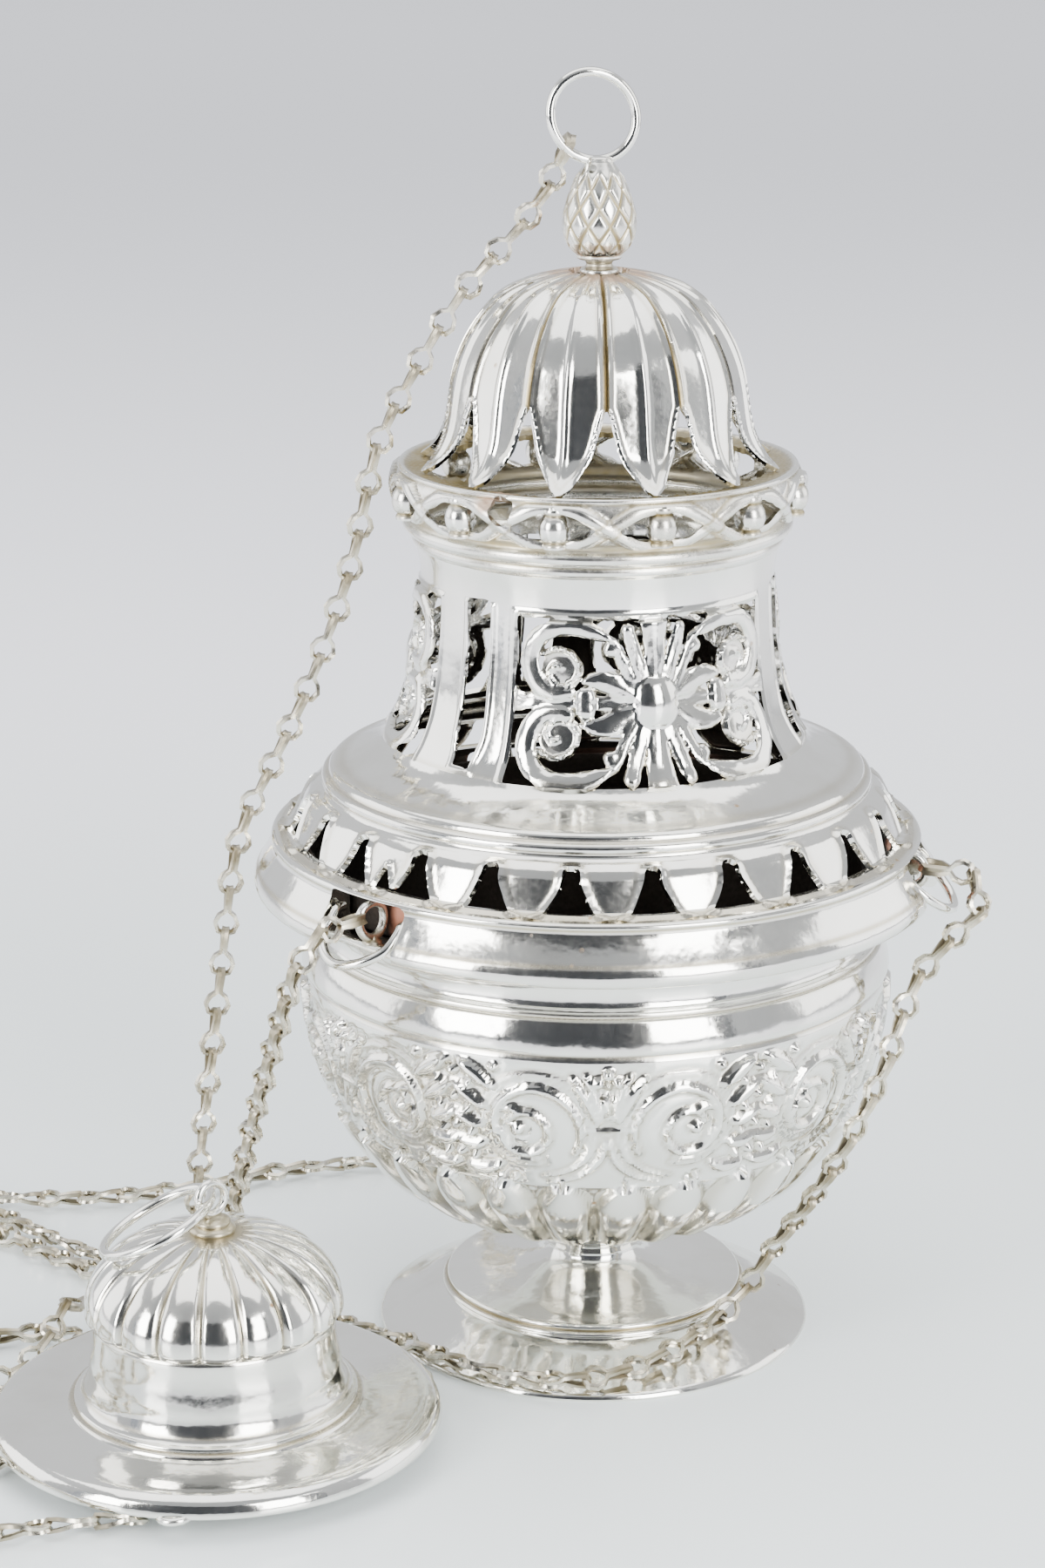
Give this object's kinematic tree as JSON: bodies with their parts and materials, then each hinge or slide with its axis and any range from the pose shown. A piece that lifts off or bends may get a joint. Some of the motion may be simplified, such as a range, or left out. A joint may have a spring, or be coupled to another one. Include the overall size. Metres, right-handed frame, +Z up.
{
  "type": "thurible",
  "caption": "Silver thurible set down on its foot: gadrooned bowl, pierced domed lid that lifts, copper fire pan, chains and a fluted hand cap lying beside it.",
  "frame": {"origin": "centre of the foot's underside, on the table", "axes": "+Z up along the thurible's axis, -Y towards the front, the hand cap and the chains lie towards -X"},
  "size_m": [0.3084, 0.2049, 0.2657],
  "materials": {
    "silver": "polished silver",
    "aged_silver": "cast silver, slightly tarnished",
    "chain_silver": "tarnished silver wire",
    "copper": "worn copper sheet"
  },
  "bodies": {
    "base": {"foot_base": "silver", "foot_plate": "silver", "foot_spool": "silver", "bowl": "silver", "bowl_eyelet_1": "silver", "bowl_eyelet_2": "silver", "bowl_eyelet_3": "silver", "cap_flare": "silver", "cap_band": "silver", "cap_dome": "silver", "cap_collar": "aged_silver", "cap_staple": "silver", "cap_lug_1": "silver", "cap_lug_2": "silver", "cap_lug_3": "silver", "cap_lug_4": "silver", "lid_chain": "chain_silver", "left_chain": "chain_silver", "right_chain": "chain_silver", "back_chain": "chain_silver", "left_chain_end": "chain_silver", "right_chain_end": "chain_silver", "left_chain_coil": "chain_silver", "right_chain_coil": "chain_silver"},
    "pan": {"fire_pan": "copper"},
    "lid": {"lid_flange": "silver", "lid_shoulder": "silver", "lid_drum": "silver", "lid_gallery": "silver", "leaf_dome": "silver", "finial_collar": "aged_silver", "finial": "aged_silver", "finial_ring": "silver", "guide_loop_1": "silver", "guide_loop_2": "silver", "guide_loop_3": "silver"},
    "hand_ring": {"hand_ring": "silver"}
  },
  "joints": [
    {"name": "lid_lift", "type": "slide", "parent": "base", "child": "lid", "axis": [0, 0, 1], "range_m": [0, 0.04], "deforming": ["lid_chain", "left_chain", "right_chain", "back_chain"]},
    {"name": "pan_lift", "type": "slide", "parent": "base", "child": "pan", "axis": [0, 0, 1], "range_m": [0, 0.004]},
    {"name": "hand_ring_swing", "type": "hinge", "parent": "base", "child": "hand_ring", "pos_m": [-0.0753, -0.0629, 0.05145], "axis": [0, 1, 0], "range_deg": [0, 232]}
  ]
}
